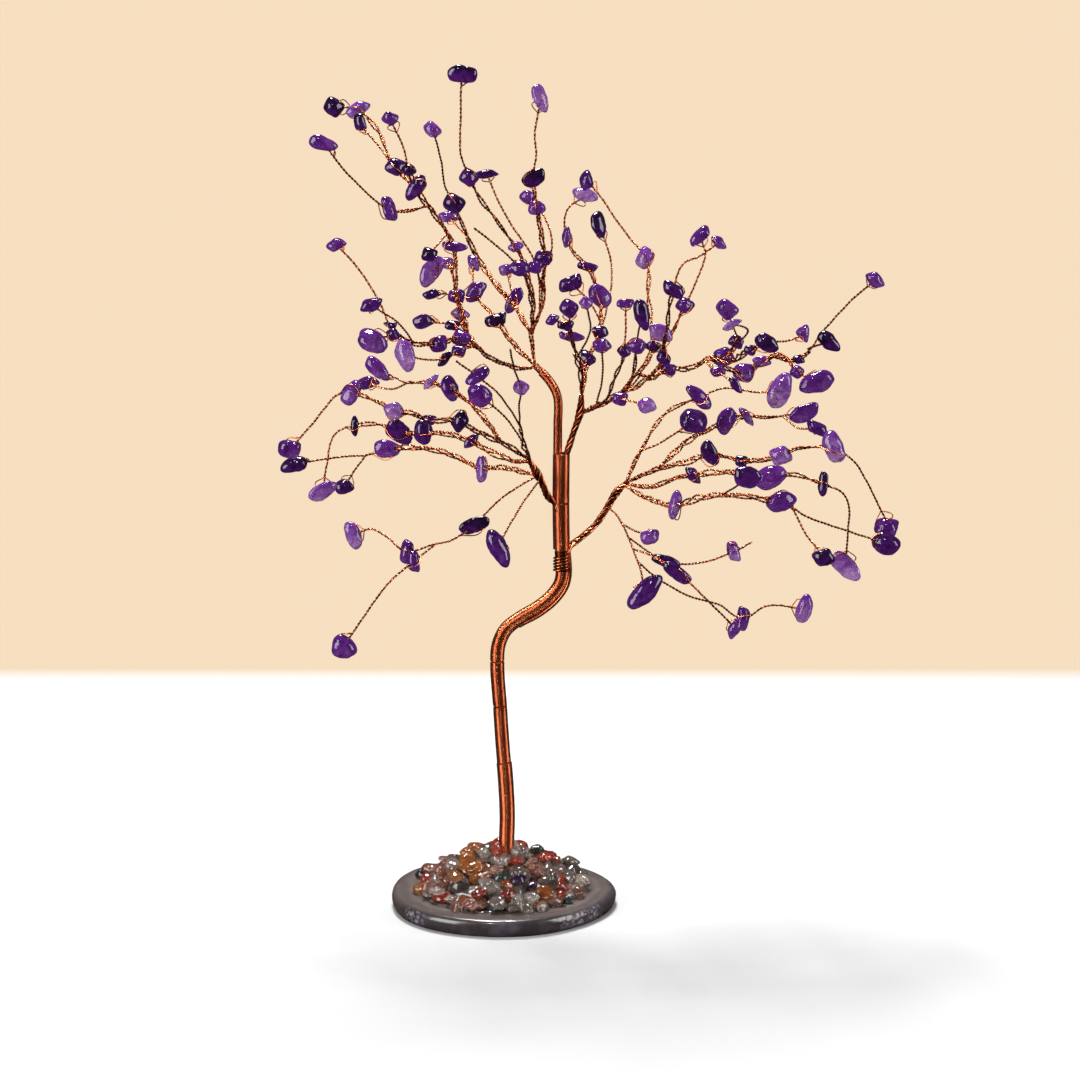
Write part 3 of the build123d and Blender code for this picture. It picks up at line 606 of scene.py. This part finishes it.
while len(laid) < small_count and tries < small_tries:
    tries += 1
    reach = puddle_reach * sqrt(chooser.uniform(*small_shares))
    turn = chooser.uniform(0, 2 * pi)
    above = Vector((reach * cos(turn), reach * sin(turn), drop_height))
    if (above.xy - foot_middle.xy).length < foot_clearance:
        continue
    hit = surface.ray_cast(above, Vector((0, 0, -1)))[0] or Vector((above.x, above.y, puddle_low.z))
    if any((hit - other).length < small_spacing for other in laid):
        continue
    laid.append(hit)
    size = chooser.uniform(*small_sizes)
    pebble = bmesh.new()
    bmesh.ops.create_icosphere(pebble, subdivisions=3, radius=0.5)
    seed = Vector((len(laid) * 1.3, 4.0, 2.0))
    stretch = Vector((1.0, chooser.uniform(*small_widths), chooser.uniform(*small_heights)))
    spin = Matrix.Rotation(chooser.uniform(0, 2 * pi), 3, "Z")
    spin = spin @ Matrix.Rotation(chooser.uniform(-small_lean, small_lean), 3, "X")
    for corner in pebble.verts:
        lump = 1 + small_lump * noise.noise(corner.co * 2.2 + seed)
        corner.co = hit + spin @ (corner.co * stretch * (lump * size))
        corner.co.z += size * small_rise
    column, row = picture_spot(hit)
    kind = small_kinds[len(laid) % len(small_kinds)]
    for place, wanted in placed_kinds_px.items():
        if abs(column - place[0]) < kind_match_px[0] and abs(row - place[1]) < kind_match_px[1]:
            kind = wanted
    small_shapes[kind].append(pebble)
for kind, stones in small_shapes.items():
    if stones:
        mesh = joined("small_" + kind, stones, [chooser.random() for _ in stones])
        piece = new_piece("small_" + kind, mesh, pebble_finishes[kind])

# The trunk is a bundle of straight copper wires bent together in a slow S, and wraps hide nearly all of
# it. Its middle line is read from the imported trunk. The wire is bright copper, darker in random
# patches, and a much darker copper paints shade on some wires.
wire_width = 0.00036
bundle_wires = 36
bundle_lay = 0.16
trunk_step = 0.0012
ring_width = 0.0014
least_line = 0.003
ridge_drift = 0.1
copper_colours = {
    "bright_copper": ((0.54, 0.105, 0.033), (0.94, 0.30, 0.125)),
    # The second copper, much darker, is painted shade laid on some wires.
    "painted_shade_copper": ((0.075, 0.016, 0.006), (0.26, 0.065, 0.022)),
}
coppers = []
for name, (deep, pale) in copper_colours.items():
    copper = Finish(name)
    spot = copper.node("TexCoord", output="Object")
    patch = copper.node("TexNoise", None, {
        "Vector": spot, "Scale": 90.0, "Detail": 4.0, "Roughness": 0.6})
    grime = copper.node("TexNoise", None, {"Vector": spot, "Scale": 900.0, "Detail": 2.0})
    wear = (patch * 1.9 - 0.45).clip()
    bump = copper.node("Bump", None, {"Strength": 0.05, "Distance": 0.00003, "Height": grime})
    metal = copper.node("BsdfPrincipled", None, {
        "Base Color": copper.blend(wear, (*deep, 1.0), (*pale, 1.0)), "Metallic": 1.0,
        "Roughness": 0.16 + grime * 0.16, "Normal": bump})
    copper.node("OutputMaterial", None, {"Surface": metal})
    coppers.append(copper.owner)


def bends(rod, short):
    """A rod's bends: the middle of each ring of corners, and the rings beside it."""
    rings = {}
    for start in rod.verts:
        if start in rings:
            continue
        ring = [start]
        for corner in ring:
            for link in corner.link_edges:
                other = link.other_vert(corner)
                if link.calc_length() < short and other not in ring:
                    ring.append(other)
        for corner in ring:
            rings[corner] = start
    middles = {}
    for head in dict.fromkeys(rings.values()):
        members = [corner for corner, owner in rings.items() if owner is head]
        middles[head] = sum((corner.co for corner in members), Vector()) / len(members)
    beside = {head: set() for head in middles}
    for edge in rod.edges:
        a, b = (rings[end] for end in edge.verts)
        if a is not b:
            beside[a].add(b)
            beside[b].add(a)
    return middles, beside


def middle_lines(node, short):
    """The middle lines of the rods in a CAD node, from the rings of corners at their bends. A rod that
    leaves another starts on the other's line."""
    lines = []
    for rod in islands(node):
        middles, beside = bends(rod, short)
        ordered = sorted(middles, key=lambda head: tuple(middles[head]))
        gone = set()
        while len(gone) < len(ordered):
            left = [head for head in ordered if head not in gone]
            ends = [head for head in left if len(beside[head]) == 1] or left
            far = {}
            for head in ends:
                far[head] = sum((middles[head] - other).length for other in middles.values())
            tip = max(ends, key=far.get)
            path = [tip]
            gone.add(tip)
            while True:
                onward = [head for head in ordered if head in beside[path[-1]] and head not in gone]
                if not onward:
                    break
                way = middles[path[-1]] - middles[path[-2]] if len(path) > 1 else Vector()
                here = middles[path[-1]]
                steps = {head: way.dot((middles[head] - here).normalized()) for head in onward}
                straightest = max(onward, key=steps.get)
                if steps[straightest] < 0:
                    break
                path.append(straightest)
                gone.add(straightest)
            met = [head for head in ordered if head in beside[path[-1]] and head not in path]
            if met and len(gone) > len(path):
                path.append(met[0])
            if (middles[path[0]] - middles[path[-1]]).length > least_line:
                lines.append([middles[head] for head in path])
        rod.free()
    return lines


def flowing(points, step):
    """Evenly spaced points on a smooth line through the given ones."""
    headings = []
    for number in range(len(points)):
        before = points[number] - points[max(number - 1, 0)]
        after = points[min(number + 1, len(points) - 1)] - points[number]
        headings.append((before.normalized() + after.normalized()).normalized())
    line = []
    for start, end, away, home in zip(points, points[1:], headings, headings[1:]):
        run = (end - start).length
        count = max(1, round(run / step))
        for number in range(count):
            t = number / count
            leaving = start * (2 * t**3 - 3 * t**2 + 1) + away * (run * (t**3 - 2 * t**2 + t))
            line.append(leaving + end * (3 * t**2 - 2 * t**3) + home * (run * (t**3 - t**2)))
    line.append(points[-1])
    return line


def strand(line, reach, lay, turn_share, ridges=0.0):
    """A wire that winds round a line, once in each lay. Its reach is a distance, or one for each point.
    It rises and falls over the ridges of what lies beneath."""
    ahead = (line[1] - line[0]).normalized()
    side = ahead.orthogonal().normalized()
    gone = 0.0
    wire = []
    for number, spot in enumerate(line):
        onward = line[min(number + 1, len(line) - 1)] - line[max(number - 1, 0)]
        ahead = onward.normalized()
        side = (side - ahead * side.dot(ahead)).normalized()
        other = ahead.cross(side)
        turn = 2 * pi * (gone / lay + turn_share)
        out = reach[number] if isinstance(reach, list) else reach
        drift = gone / ridge_drift
        out *= 1 + ridges * (cos(5 * turn + 9 * drift) + 0.6 * cos(3 * turn - 4 * drift))
        wire.append(spot + side * (cos(turn) * out) + other * (sin(turn) * out))
        if number + 1 < len(line):
            gone += (line[number + 1] - spot).length
    return wire


def wire_mesh(name, wires, width, sides=1, shaded_wire_numbers=()):
    """Round wire along each list of points, as one mesh. Those numbered in the last list are of the much
    darker copper, which paints shade.
    """
    curve = bpy.data.curves.new(name, "CURVE")
    curve.dimensions = "3D"
    curve.bevel_depth = width / 2
    curve.bevel_resolution = sides
    curve.use_fill_caps = True
    for copper in coppers:
        curve.materials.append(copper)
    for number, wire in enumerate(wires):
        spline = curve.splines.new("POLY")
        spline.points.add(len(wire) - 1)
        spline.material_index = int(number in shaded_wire_numbers)
        for point, spot in zip(spline.points, wire):
            point.co = (*spot, 1.0)
    holder = bpy.data.objects.new(name, curve)
    bpy.context.scene.collection.objects.link(holder)
    mesh = bpy.data.meshes.new_from_object(holder.evaluated_get(bpy.context.evaluated_depsgraph_get()))
    bpy.data.objects.remove(holder)
    mesh.name = name
    return mesh


trunk_points = middle_lines("trunk_core", ring_width)[0]
if trunk_points[0].z > trunk_points[-1].z:
    trunk_points.reverse()
trunk_line = flowing(trunk_points, trunk_step)
trunk_low, trunk_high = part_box("trunk_core")
bundle_radius = (trunk_high.y - trunk_low.y) / 2 - wire_width / 2
starts = [number / bundle_wires for number in range(bundle_wires)]
wires = [strand(trunk_line, bundle_radius, bundle_lay, start) for start in starts]
bundle = new_piece("trunk_bundle", wire_mesh("trunk_bundle", wires, wire_width))
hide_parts("trunk_core")

# Fine wire is wound closely round the bundle in six lengths, turn beside turn, each starting where the
# last was tucked in. The turns follow the ridges beneath. Those under the binding are of the darker
# copper, painted shade between the binding's turns.
wrap_names = ("foot_wrap", "lower_wrap", "middle_wrap", "crook_wrap", "upper_wrap", "crotch_wrap")
turn_steps = 24
wrap_pitch = wire_width * 1.02
wrap_turn = 0.37
winding_seat = 0.985
winding_ridges = 0.010


def between(line, low, high):
    """The part of a rising line between two heights."""
    return [spot for spot in line if low <= spot.z <= high]


def close_winding(line, radius, pitch, turn_share):
    """Close turns of wire round a line. They follow the ridges of the bundle beneath."""
    return strand(line, radius * winding_seat, pitch, turn_share, winding_ridges)


fine_line = flowing(trunk_points, wire_width / turn_steps)
for number, name in enumerate(wrap_names):
    low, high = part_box(name)
    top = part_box("upper_wrap")[0].z if name == "crook_wrap" else high.z
    section = between(fine_line, low.z + wire_width / 2, top - wire_width / 2)
    radius = (high.y - low.y) / 2 - wire_width / 2
    wire = close_winding(section, radius, wrap_pitch, number * wrap_turn)
    bound = next((place for place, spot in enumerate(section) if spot.z > high.z), len(wire) - 1)
    wires = [part for part in (wire[:bound + 1], wire[bound:]) if len(part) > 1]
    # The turns under the binding take the darker copper: painted shade between the binding's turns.
    wrap = new_piece(name + "_turns", wire_mesh(name + "_turns", wires, wire_width, 1, (1,)))
    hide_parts(name)

# A stouter wire binds the trunk under the right limb, with turns a little apart that show the wrap
# between them. Its ends are tucked in at the back.
binding_low, binding_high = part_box("fork_binding")
binding_width = 0.00055
binding_turns = 5
binding_steps = 40
binding_start = 0.25
binding_ease = 0.0001
binding_wobble = 0.02
binding_slope = 0.0003
binding_middle = (binding_low + binding_high) / 2
binding_radius = (binding_high.y - binding_low.y - binding_width) / 2 + binding_ease
binding_rise = binding_high.z - binding_low.z - binding_width
wire = []
for number in range(binding_turns * binding_steps + 1):
    turn = 2 * pi * (number / binding_steps + binding_start)
    wobble = 1 + binding_wobble * sin(turn * 0.43)
    climb = binding_rise * number / (binding_turns * binding_steps) - binding_rise / 2
    climb += binding_slope * cos(turn)
    out = Vector((cos(turn) * wobble, sin(turn) * wobble, 0)) * binding_radius
    wire.append(binding_middle + out + Vector((0, 0, climb)))
binding = new_piece("fork_binding_turns", wire_mesh("fork_binding_turns", [wire], binding_width, 2))
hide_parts("fork_binding")

# Four limbs leave the trunk as bundles of wires laid up like rope, knotted just below their forks. The
# top left one is wound closely with fine wire, and tails of the right one run down beside the trunk.
limb_strand = 0.00092
limb_lays = {"middle_limb": 0.0115, "left_limb": 0.0085, "right_limb": 0.0095}
limb_step = 0.0004
limb_slack = 0.25
tip_steps = 14
knot_swell = 0.40
knot_place = 15
knot_steps = 7
tail_drop = 0.026
tail_turns = (0.10, 0.55)
tail_start = 0.86
tail_rise = 0.035
top_left_wires = 12
top_left_step = 0.0006
top_left_lay = 0.02
top_left_pitch = wire_width * 1.03
top_left_turn = 0.2
top_left_wound = 0.9


def limb_middle(name):
    """A limb's middle line, from the trunk outwards, and its radius."""
    points = middle_lines(name, ring_width)[0]
    if points[0].z > points[-1].z:
        points.reverse()
    return points, min((corner.co - points[-1]).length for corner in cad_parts[name].data.vertices)


for name, lay in limb_lays.items():
    points, radius = limb_middle(name)
    outer = radius - limb_strand / 2
    around = round(2 * pi * outer / (limb_strand * 1.04))
    line = flowing(points, limb_step)
    reach = []
    for step, spot in enumerate(line):
        to_go = len(line) - step
        tightened = min(1.0, 0.5 + 0.5 * to_go / tip_steps)
        knotted = 1 + knot_swell * exp(-((to_go - knot_place) / knot_steps) ** 2)
        reach.append(outer * tightened * knotted * (1 + limb_slack * noise.noise(spot * 300)))
    wires = [strand(line, reach, lay, number / around) for number in range(around)]
    # Every third strand and the middle wire are of the darker copper: painted shade in the rope.
    shaded_strands = (*range(0, around, 3), around)
    mesh = wire_mesh(name + "_wires", wires + [line], limb_strand, 2, shaded_strands)
    limb = new_piece(name + "_wires", mesh)
    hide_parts(name)
root, outward = limb_middle("right_limb")[0][:2]
foot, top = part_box("crook_wrap")
tail_reach = (top.y - foot.y) / 2 + limb_strand * 0.2
beside = between(trunk_line, root.z - tail_drop, root.z)
tails = []
for turn in tail_turns:
    tail = []
    for number, spot in enumerate(beside):
        ahead = (beside[min(number + 1, len(beside) - 1)] - beside[max(number - 1, 0)]).normalized()
        right = (Vector((1.0, 0.0, 0.0)) - ahead * ahead.x).normalized()
        out = right * cos(turn) + right.cross(ahead) * sin(turn)
        tail.append(spot + out * (tail_reach * min(1.0, tail_start + tail_rise * number)))
    tails.append(flowing(tail + [outward], limb_step))
run_down = new_piece("right_limb_tails", wire_mesh("right_limb_tails", tails, limb_strand, 2))
points, radius = limb_middle("top_left_limb")
line = flowing(points, top_left_step)
starts = [number / top_left_wires for number in range(top_left_wires)]
wires = [strand(line, radius - wire_width * 1.6, top_left_lay, start) for start in starts]
wound = flowing(points, wire_width / turn_steps)
wound = wound[: int(len(wound) * top_left_wound)]
wires.append(close_winding(wound, radius - wire_width / 2, top_left_pitch, top_left_turn))
limb = new_piece("top_left_limb_wires", wire_mesh("top_left_limb_wires", wires, wire_width))
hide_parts("top_left_limb")

# Each twig is a pair of wires twisted together by hand. Near a limb several pairs run side by side, and
# each turns off to its own stones. At a stone one wire goes through the hole and one round the outside.
pair_wire = 0.00041
twig_lay = 0.0029
twig_step = 0.0003
braid_lay = 0.021
braid_pairs = 3
braid_reach = 0.00050
braid_slack = 0.7
braid_start = 0.2
braid_turn = 0.382
line_turn = 0.23
twig_ring_width = 0.0010
wood_step = 0.001
settle = 12
root_reach = 0.003
most_forks = 5
kink = 0.00022
kink_seed = 4
hug_gap = 0.00020
hug_share = 0.62
hug_rise = 0.35
hug_turn = 2.4
heading_steps = 3
hold_steps = 2
loose_end = 0.0019
lone_pairs = ("left_bottom", "right_bottom")
sprays = sorted(name[:-6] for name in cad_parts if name.endswith("_twigs"))
wood = []
for name in wrap_names:
    low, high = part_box(name)
    wood += between(trunk_line, low.z, high.z)
for name in (*limb_lays, "top_left_limb"):
    wood += flowing(limb_middle(name)[0], wood_step)


def twisted_pair(line):
    """Two wires twisted together along a line."""
    return [strand(line, pair_wire * 0.5, twig_lay, share) for share in (0.0, 0.5)]


def nearest(spot, line):
    """The place in a line that lies nearest to a spot, and how far away it is."""
    gaps = [(spot - other).length_squared for other in line]
    place = min(range(len(line)), key=gaps.__getitem__)
    return place, sqrt(gaps[place])


def rooted(lines):
    """Turns each line to run outwards and starts it inside what carries it. Gives the line and place
    from which each leaves, where that is another twig."""
    parents = {}
    for number, line in enumerate(lines):
        gaps = [nearest(end, wood)[1] for end in (line[0], line[-1])]
        others = [other for other in range(len(lines)) if other != number]
        if min(gaps) > root_reach:
            for place, end in enumerate((line[0], line[-1])):
                gaps[place] = min(nearest(end, lines[other])[1] for other in others)
        if gaps[1] < gaps[0]:
            line.reverse()
    for number, line in enumerate(lines):
        place, gap = nearest(line[0], wood)
        root = wood[place]
        if gap > root_reach:
            others = [other for other in range(len(lines)) if other != number]
            grown = [other for other in others if len(lines[other]) > settle]
            parent = min(grown, key=lambda other: nearest(line[0], lines[other][settle:])[1])
            place = nearest(line[0], lines[parent])[0]
            parents[number] = (parent, place)
            root = lines[parent][place]
        if (root - line[0]).length > twig_step:
            line[:0] = flowing([root, line[0]], twig_step)[:-1]
    return parents


def pair_ends(number, hung, parents, depth=0):
    """Where along a line its pairs of wires end or turn off, the farthest first."""
    places = list(hung[number])
    for child, (parent, place) in parents.items():
        if parent == number and depth < most_forks:
            places += [place] * len(pair_ends(child, hung, parents, depth + 1))
    return sorted(places, reverse=True)


def hugging(stone, line, place, number):
    """The wires round a stone: over one side where its twig goes on, or a loop through it at a tip."""
    middle = middle_of(stone)
    onward = line[min(place + heading_steps, len(line) - 1)] - line[max(place - heading_steps, 0)]
    ahead = onward.normalized()
    side = ahead.cross(view_ahead).normalized() * (1 if number % 2 else -1)
    along = max(abs((corner.co - middle).dot(ahead)) for corner in stone.verts)
    steps = round(along / twig_step) + hold_steps
    before = line[max(place - steps, 0)]
    if place + steps < len(line):
        turn = number * hug_turn
        out = side * cos(turn) - view_ahead * abs(sin(turn))
        bulge = max((corner.co - line[place]).dot(out) for corner in stone.verts) + hug_gap
        return [flowing([before, line[place] + out * bulge, line[place + steps]], twig_step)]
    reach = [(corner.co - middle).dot(side) for corner in stone.verts]
    rise = middle - ahead * (along * hug_rise)
    left = rise + side * (max(reach) * hug_share + hug_gap)
    right = rise + side * (min(reach) * hug_share - hug_gap)
    loop = [before, left, rise, right, before] if number % 3 else [before, left, rise]
    hook = [before, before + (side + ahead * 0.4) * (loose_end * 0.5)]
    hook.append(before + (side + ahead) * (loose_end * 0.75))
    return [flowing(loop, twig_step)] + [flowing(hook, twig_step)] * (number % 3 == 0)


lines = []
spray_of = []
for spray in sprays:
    for points in middle_lines(spray + "_twigs", twig_ring_width):
        lines.append(flowing(points, twig_step))
        spray_of.append(spray)
parents = rooted(lines)
hung = {number: [] for number in range(len(lines))}
hugs = {number: [] for number in range(len(lines))}
# Unseeded, the noise that kinks the wires would differ from run to run.
noise.seed_set(kink_seed)
for spray in sprays:
    own = [number for number, owner in enumerate(spray_of) if owner == spray]
    for count, stone in enumerate(islands(spray + "_chips")):
        middle = middle_of(stone)
        owner = min(own, key=lambda number: nearest(middle, lines[number])[1])
        place = nearest(middle, lines[owner])[0]
        hung[owner].append(place)
        hugs[owner] += hugging(stone, lines[owner], place, count)
        stone.free()
for spray in sprays:
    pairs = []
    singles = []
    for number, line in enumerate(lines):
        if spray_of[number] != spray:
            continue
        last = len(line) - 1
        shift = Vector((number * 2.3, 1.0, 5.0))
        bent = []
        for step, spot in enumerate(line):
            ease = min(1.0, step / settle, (last - step) / settle)
            bent.append(spot + noise.noise_vector(spot * 170 + shift) * (kink * ease))
        most = 1 if spray in lone_pairs else braid_pairs
        ends = [last] + [place for place in pair_ends(number, hung, parents)[1:most] if place > settle]
        counts = [sum(end >= step for end in ends) for step in range(last + 1)]
        reach = []
        for step in range(last + 1):
            near = counts[max(0, step - settle): step + settle + 1]
            loose = 1 + braid_slack * noise.noise(line[step] * 90 + shift)
            gathered = min(1.0, braid_start + step / (3 * settle))
            reach.append(braid_reach * loose * gathered * sqrt(sum(near) / len(near) - 1))
        for rank, end in enumerate(ends):
            start = rank * braid_turn + number * line_turn
            pairs += twisted_pair(strand(bent[:end + 1], reach, braid_lay, start))
        singles += hugs[number]
    # Each pair's second wire is of the darker copper: painted shade on the wire turned from the light.
    mesh = wire_mesh(spray + "_twisted_pairs", pairs + singles, pair_wire, 1, range(1, len(pairs), 2))
    twigs = new_piece(spray + "_twisted_pairs", mesh)
    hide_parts(spray + "_twigs")

# The leaves are chips of amethyst, broken, tumbled smooth and drilled. They run from nearly black
# through deep violet to pale lilac, and each is threaded on its twig.
chip_hardness = 3.6
chip_dent = 0.13
plain_tones = (0.34, 0.62)
dark_tones = (0.16, 0.34)
pale_tones = (0.68, 0.90)
tone_match_px = 5
violet_colours = (
    (0.0, (0.004, 0.0010, 0.007)), (0.20, (0.020, 0.0026, 0.040)), (0.42, (0.058, 0.0066, 0.112)),
    (0.62, (0.110, 0.016, 0.205)), (0.80, (0.190, 0.050, 0.330)), (1.0, (0.380, 0.195, 0.540)),
)
lit_through = (0.86, 0.72, 1.0, 1.0)
dark_chips_px = (
    (334, 107), (359, 123), (396, 166), (409, 169), (461, 73), (487, 174), (454, 203), (533, 178),
    (371, 305), (391, 326), (424, 322), (429, 254), (432, 294), (453, 325), (445, 358), (497, 320),
    (544, 258), (599, 225), (572, 284), (566, 325), (600, 333), (642, 314), (624, 351), (653, 347),
    (664, 358), (588, 359), (673, 290), (292, 465), (354, 426), (423, 433), (430, 420), (459, 421),
    (736, 342), (735, 385), (766, 343), (751, 350), (829, 341), (799, 359), (710, 454), (742, 461),
    (747, 477), (885, 543), (823, 484), (824, 557), (344, 486), (474, 525), (666, 562), (678, 573),
)
pale_chips_px = (
    (358, 109), (433, 129), (541, 99), (585, 196), (449, 217), (405, 355), (431, 271), (447, 263),
    (460, 314), (473, 263), (506, 270), (516, 247), (645, 257), (586, 303), (661, 333), (521, 388),
    (647, 405), (732, 324), (351, 393), (394, 411), (431, 382), (482, 468), (762, 362), (747, 416),
    (781, 391), (676, 505), (650, 536), (734, 552), (834, 448), (781, 456), (846, 566), (323, 491),
    (353, 535), (804, 609),
)


def listed(spot, places):
    """Whether a spot in the picture is in a list of places."""
    return any(max(abs(spot[0] - column), abs(spot[1] - row)) < tone_match_px for column, row in places)


amethyst = Finish("tumbled_amethyst")
spot = amethyst.node("TexCoord", output="Object")
tone = amethyst.node("Attribute", {"attribute_name": "tone"}, None, "Fac")
veil = amethyst.node("TexNoise", None, {
    "Vector": spot, "Scale": 260.0, "Detail": 6.0, "Distortion": 1.6})
fine = amethyst.node("TexNoise", None, {"Vector": spot, "Scale": 1300.0, "Detail": 3.0})
down = amethyst.node("Attribute", {"attribute_name": "depth"}, None, "Fac")
# Paler towards each chip's bottom: painted light shining through the chip.
paleness = tone + veil * 0.9 + down * 0.24 - 0.57
violet = amethyst.node("ValToRGB", {"stops": violet_colours}, {"Fac": paleness})
bump = amethyst.node("Bump", None, {"Strength": 0.06, "Distance": 0.0002, "Height": fine})
solid = amethyst.node("BsdfPrincipled", None, {
    "Base Color": violet, "Roughness": 0.03 + veil * 0.07, "IOR": 1.54, "Normal": bump})
glassy = amethyst.node("BsdfPrincipled", None, {
    "Base Color": amethyst.blend(0.30, violet, lit_through), "Roughness": 0.03 + veil * 0.05,
    "Transmission Weight": 1.0, "IOR": 1.46, "Normal": bump})
# Clearer towards each chip's bottom too: painted light shining through.
share = (veil * 1.1 + tone * 0.8 + down * 0.3 - 0.95).clip()
surface = amethyst.node("MixShader", None, {0: share, 1: solid, 2: glassy})
amethyst.node("OutputMaterial", None, {"Surface": surface})

chip_chooser = Random(5)
for spray in sprays:
    stones = []
    tones = []
    for number, one in enumerate(islands(spray + "_chips")):
        where = picture_spot(middle_of(one))
        tone = chip_chooser.uniform(*plain_tones)
        if listed(where, dark_chips_px):
            tone = chip_chooser.uniform(*dark_tones)
        if listed(where, pale_chips_px):
            tone = chip_chooser.uniform(*pale_tones)
        stones.append(tumbled(one, chip_hardness, chip_dent, number + 0.5))
        one.free()
        tones.append(tone)
    leaves = new_piece(spray + "_leaves", joined(spray + "_leaves", stones, tones), amethyst.owner)
    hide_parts(spray + "_chips")
